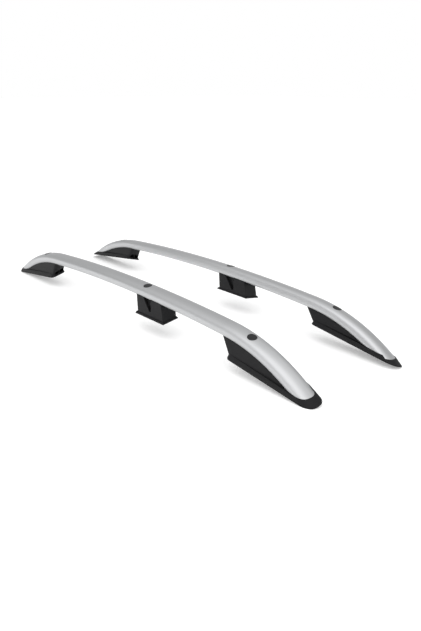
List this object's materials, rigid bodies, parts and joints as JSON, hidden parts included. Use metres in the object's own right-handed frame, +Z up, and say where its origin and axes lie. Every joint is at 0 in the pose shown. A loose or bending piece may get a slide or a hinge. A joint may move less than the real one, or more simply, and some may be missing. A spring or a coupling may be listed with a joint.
{
  "type": "roof side rail pair",
  "caption": "Pair of raised roof side rails: bowed oval aluminium tubes on hollow moulded feet, with plugs over the bolt points.",
  "frame": {"origin": "on the ground plane under the lowest edges of the end feet, halfway between the two rails and halfway along them", "axes": "+X towards the front of the vehicle along the rails, +Z up, +Y towards the left rail"},
  "size_m": [1.5982, 0.4098, 0.1461],
  "materials": {
    "tube": "satin anodised silver, fine lengthwise draw grain",
    "foot": "black moulded plastic, fine grain",
    "plug": "smooth black moulded plastic",
    "pad": "black rubber sheet",
    "plate": "zinc plated steel",
    "sleeve": "zinc plated steel",
    "screw": "zinc plated steel"
  },
  "bodies": {
    "root": {"right_rail_tube": "tube", "right_front_foot": "foot", "right_middle_foot": "foot", "right_rear_foot": "foot", "right_front_plug": "plug", "right_middle_plug": "plug", "right_rear_plug": "plug", "right_front_pad": "pad", "right_middle_pad": "pad", "right_rear_pad": "pad", "right_front_base_plate": "plate", "right_middle_base_plate": "plate", "right_rear_base_plate": "plate", "right_spacer_sleeves": "sleeve", "right_foot_screws": "screw", "left_rail_tube": "tube", "left_front_foot": "foot", "left_middle_foot": "foot", "left_rear_foot": "foot", "left_front_plug": "plug", "left_middle_plug": "plug", "left_rear_plug": "plug", "left_front_pad": "pad", "left_middle_pad": "pad", "left_rear_pad": "pad", "left_front_base_plate": "plate", "left_middle_base_plate": "plate", "left_rear_base_plate": "plate", "left_spacer_sleeves": "sleeve", "left_foot_screws": "screw"}
  },
  "joints": []
}
